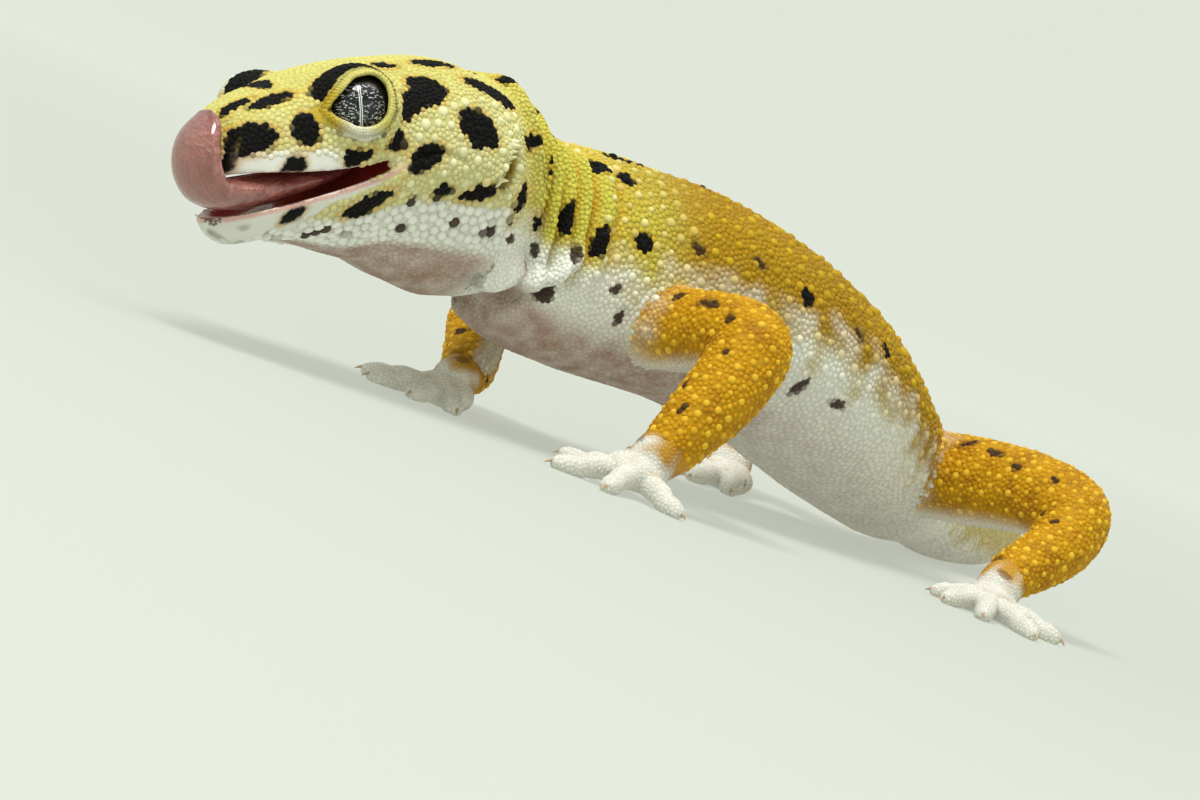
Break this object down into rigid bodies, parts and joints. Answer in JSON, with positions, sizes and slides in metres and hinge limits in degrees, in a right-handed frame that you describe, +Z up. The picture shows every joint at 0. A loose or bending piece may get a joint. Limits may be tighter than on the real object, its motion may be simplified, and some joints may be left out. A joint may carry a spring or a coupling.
{
  "type": "leopard gecko",
  "caption": "Life-size leopard gecko standing with its head raised and turned, mouth a little open and tongue folded up over its snout.",
  "frame": {"origin": "centre of the bounding box on the floor that the gecko stands on", "axes": "+Z up, +Y towards the tail and +X towards the left hind foot; the head turns towards -X and -Y"},
  "size_m": [0.0976, 0.1772, 0.0316],
  "materials": {
    "skin": "matte, scaly",
    "pale_skin": "matte, scaly",
    "eye": "wet gloss",
    "tongue": "wet"
  },
  "bodies": {
    "root": {"eye_left": "eye", "eye_right": "eye", "eyelids_left": "skin", "eyelids_right": "skin", "foot_left": "pale_skin", "foot_right": "pale_skin", "forearm_left": "skin", "forearm_right": "skin", "hand_left": "pale_skin", "hand_right": "pale_skin", "head": "skin", "lower_jaw": "skin", "neck": "skin", "shin_left": "skin", "shin_right": "skin", "tail_base": "skin", "tail_middle": "skin", "tail_tip": "skin", "thigh_left": "skin", "thigh_right": "skin", "tongue": "tongue", "trunk_front": "skin", "trunk_rear": "skin", "upper_arm_left": "skin", "upper_arm_right": "skin"}
  },
  "joints": []
}
